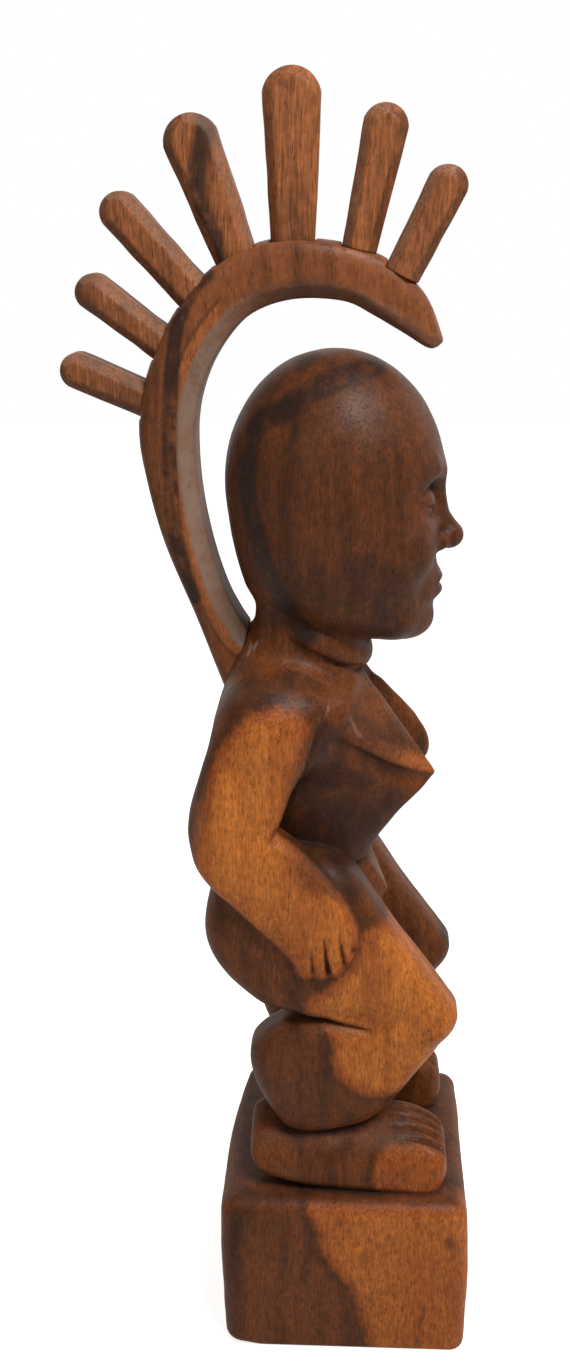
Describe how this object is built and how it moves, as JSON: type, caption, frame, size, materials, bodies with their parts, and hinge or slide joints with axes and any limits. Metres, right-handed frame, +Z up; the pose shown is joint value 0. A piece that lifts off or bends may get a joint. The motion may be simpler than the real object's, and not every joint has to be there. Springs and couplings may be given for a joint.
{
  "type": "carved wooden figure",
  "caption": "Carved wooden figure crouching on a square plinth, with a tall curved crest and tapered rays rising behind its smooth head.",
  "frame": {"origin": "centre of the plinth's underside, on the surface that it stands on", "axes": "+Z up; the figure faces -Y; +X is the figure's left side, across its plane of symmetry"},
  "size_m": [0.113, 0.1746, 0.5635],
  "materials": {
    "figure_wood": "oiled satin",
    "crest_wood": "oiled satin",
    "ray_wood": "oiled, saw-marked",
    "dowel_wood": "raw"
  },
  "bodies": {
    "root": {"figure": "figure_wood", "crest_arch": "crest_wood", "ray_1": "ray_wood", "ray_2": "ray_wood", "ray_3": "ray_wood", "ray_4": "ray_wood", "ray_5": "ray_wood", "ray_6": "ray_wood", "ray_7": "ray_wood", "ray_dowel_1": "dowel_wood", "ray_dowel_2": "dowel_wood", "ray_dowel_3": "dowel_wood", "ray_dowel_4": "dowel_wood", "ray_dowel_5": "dowel_wood", "ray_dowel_6": "dowel_wood", "ray_dowel_7": "dowel_wood", "crest_dowel_1": "dowel_wood", "crest_dowel_2": "dowel_wood"}
  },
  "joints": []
}
